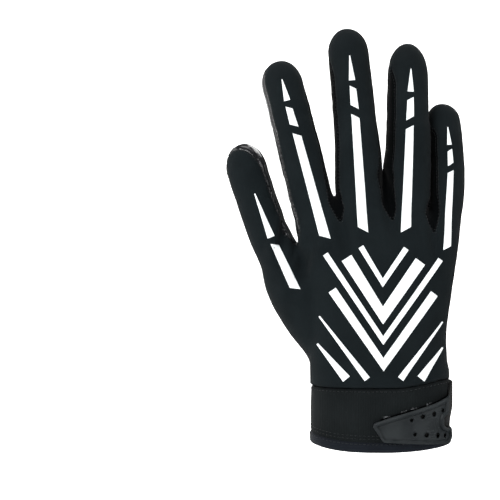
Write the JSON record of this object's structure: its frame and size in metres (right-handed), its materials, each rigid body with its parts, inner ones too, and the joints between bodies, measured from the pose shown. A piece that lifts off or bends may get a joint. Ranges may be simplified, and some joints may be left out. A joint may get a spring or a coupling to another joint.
{
  "type": "football receiver glove",
  "caption": "Right-hand sports glove with a grip palm, striped knit back, finger side strips, stretch cuff and a wrist strap with a moulded pull tab.",
  "frame": {"origin": "middle of the wrist opening, level with the hem at the sides of the cuff", "axes": "+Z from the wrist to the fingertips, +Y out of the palm, +X towards the little finger's side"},
  "size_m": [0.1318, 0.0533, 0.2321],
  "materials": {
    "knit": "matte fine stretch knit",
    "print": "matte printed stripe",
    "grip": "glossy tacky silicone film",
    "grip_print": "white print under glossy silicone",
    "stretch_cuff": "matte knitted elastic",
    "binding": "ribbed tape",
    "strap": "brushed loop fabric",
    "tab_rubber": "satin moulded rubber",
    "thread": "sewing thread"
  },
  "bodies": {
    "root": {"back_panel": "knit", "palm_panel": "grip", "strip_index_middle": "knit", "strip_middle_ring": "knit", "strip_ring_little": "knit", "cuff": "stretch_cuff", "edge_binding": "binding", "closure_strap": "strap", "closure_tab": "tab_rubber"}
  },
  "joints": []
}
